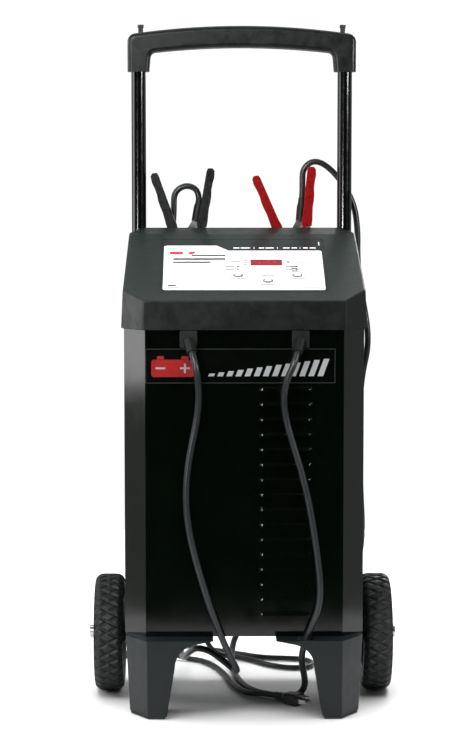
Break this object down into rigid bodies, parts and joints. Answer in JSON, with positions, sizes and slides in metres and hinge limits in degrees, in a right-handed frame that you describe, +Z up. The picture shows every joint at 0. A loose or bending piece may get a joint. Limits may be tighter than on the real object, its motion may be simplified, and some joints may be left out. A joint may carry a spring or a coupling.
{
  "type": "wheeled battery charger",
  "caption": "Upright battery charger on wheels: tall louvred cabinet, sloping control label, arched carrying handle with clamps stored behind, battery leads and a mains cord.",
  "frame": {"origin": "on the floor, at the middle of the charger's width and depth without its cables", "axes": "+Z up, -Y towards somebody who faces the control label, +X to that person's right"},
  "size_m": [0.4622, 0.5571, 1.002],
  "materials": {
    "gloss_black_sheet": "glossy black powder coat on folded sheet steel",
    "black_steel": "satin black coated steel",
    "cap_plastic": "matt charcoal moulded plastic, finely textured",
    "base_plastic": "matt black moulded plastic",
    "hub_plastic": "black moulded plastic",
    "tyre_rubber": "black rubber with a diamond tread",
    "pad_rubber": "black rubber",
    "bushing_rubber": "dark grey rubber",
    "lead_jacket": "dark grey flexible jacket, soft sheen",
    "cord_jacket": "black vinyl jacket",
    "bright_metal": "bright nickel plate",
    "dark_screw": "black oxide",
    "tube_enamel": "glossy black enamel on steel tube",
    "grip_plastic": "black moulded plastic",
    "label_film": "printed overlay in black and white",
    "plate_film": "printed black plate with a thin outline",
    "red_lens": "red tinted window",
    "light_lens": "red lens",
    "board_green": "green solder mask",
    "button_plastic": "grey button",
    "core_steel": "stacked and varnished steel sheets",
    "winding_copper": "varnished copper wire",
    "zinc_steel": "zinc plated sheet steel",
    "bare_aluminium": "bare extruded aluminium",
    "diode_metal": "plated diode cups",
    "fan_plastic": "black plastic",
    "contact_copper": "bare copper",
    "clamp_steel": "plated pressed steel",
    "spring_steel": "spring wire",
    "black_vinyl": "black vinyl sleeve",
    "red_vinyl": "red vinyl sleeve"
  },
  "bodies": {
    "charger": {"axle": "bright_metal", "axle_caps": "bright_metal", "base": "base_plastic", "black_clamp_body": "clamp_steel", "black_clamp_body_grip": "black_vinyl", "black_clamp_spring": "spring_steel", "black_lead": "lead_jacket", "cabinet": "gloss_black_sheet", "cable_bushings": "bushing_rubber", "case_screws": "dark_screw", "circuit_breaker": "fan_plastic", "clamp_body_contacts": "contact_copper", "clamp_holder": "black_steel", "clamp_pins": "bright_metal", "clamp_terminals": "contact_copper", "control_board": "board_green", "control_label": "label_film", "cord_strain_relief": "bushing_rubber", "display_window": "red_lens", "fan_frame": "fan_plastic", "foot_pads": "pad_rubber", "front_nameplate": "plate_film", "handle_grip": "grip_plastic", "handle_tubes": "tube_enamel", "indicator_lights": "light_lens", "mounting_bolts": "bright_metal", "plug_blades": "bright_metal", "plug_body": "cord_jacket", "power_cord": "cord_jacket", "rear_panel": "gloss_black_sheet", "rectifier_diodes": "diode_metal", "rectifier_heat_sink": "bare_aluminium", "rectifier_stand": "zinc_steel", "red_clamp_body": "clamp_steel", "red_clamp_body_grip": "red_vinyl", "red_clamp_spring": "spring_steel", "red_lead": "lead_jacket", "top_cap": "cap_plastic", "transformer_bracket": "zinc_steel", "transformer_core": "core_steel", "transformer_winding": "winding_copper", "tube_brackets": "black_steel", "tube_end_plugs": "grip_plastic", "tube_screws": "dark_screw", "wheel_washers": "bright_metal"},
    "left_wheel": {"left_hub": "hub_plastic", "left_tyre": "tyre_rubber"},
    "right_wheel": {"right_hub": "hub_plastic", "right_tyre": "tyre_rubber"},
    "cooling_fan": {"fan_rotor": "fan_plastic"},
    "black_lever": {"black_clamp_lever": "clamp_steel", "black_clamp_lever_grip": "black_vinyl", "black_clamp_lever_contact": "contact_copper"},
    "red_lever": {"red_clamp_lever": "clamp_steel", "red_clamp_lever_grip": "red_vinyl", "red_clamp_lever_contact": "contact_copper"},
    "battery_type_key": {"battery_type_button": "button_plastic"},
    "display_mode_key": {"display_mode_button": "button_plastic"},
    "charge_rate_key": {"charge_rate_button": "button_plastic"}
  },
  "joints": [
    {"name": "left_wheel_spin", "type": "hinge", "parent": "charger", "child": "left_wheel", "pos_m": [-0.2, 0.038, 0.0875], "axis": [1, 0, 0], "continuous": true},
    {"name": "right_wheel_spin", "type": "hinge", "parent": "charger", "child": "right_wheel", "pos_m": [0.2, 0.038, 0.0875], "axis": [1, 0, 0], "continuous": true},
    {"name": "fan_spin", "type": "hinge", "parent": "charger", "child": "cooling_fan", "pos_m": [0.04, 0.1075, 0.4], "axis": [0, 1, 0], "continuous": true},
    {"name": "black_clamp_squeeze", "type": "hinge", "parent": "charger", "child": "black_lever", "pos_m": [-0.082, 0.1375, 0.68], "axis": [0, 1, 0], "range_deg": [0, 24], "stiffness_Nm_per_rad": 2.5, "springref_deg": -34.38},
    {"name": "red_clamp_squeeze", "type": "hinge", "parent": "charger", "child": "red_lever", "pos_m": [0.08, 0.1375, 0.68], "axis": [0, 1, 0], "range_deg": [0, 24], "stiffness_Nm_per_rad": 2.5, "springref_deg": -34.38},
    {"name": "battery_type_press", "type": "slide", "parent": "charger", "child": "battery_type_key", "axis": [0, 0.3873, -0.922], "range_m": [0, 0.0008], "stiffness_N_per_m": 1200, "springref_m": -0.0008},
    {"name": "display_mode_press", "type": "slide", "parent": "charger", "child": "display_mode_key", "axis": [0, 0.3873, -0.922], "range_m": [0, 0.0008], "stiffness_N_per_m": 1200, "springref_m": -0.0008},
    {"name": "charge_rate_press", "type": "slide", "parent": "charger", "child": "charge_rate_key", "axis": [0, 0.3873, -0.922], "range_m": [0, 0.0008], "stiffness_N_per_m": 1200, "springref_m": -0.0008}
  ]
}
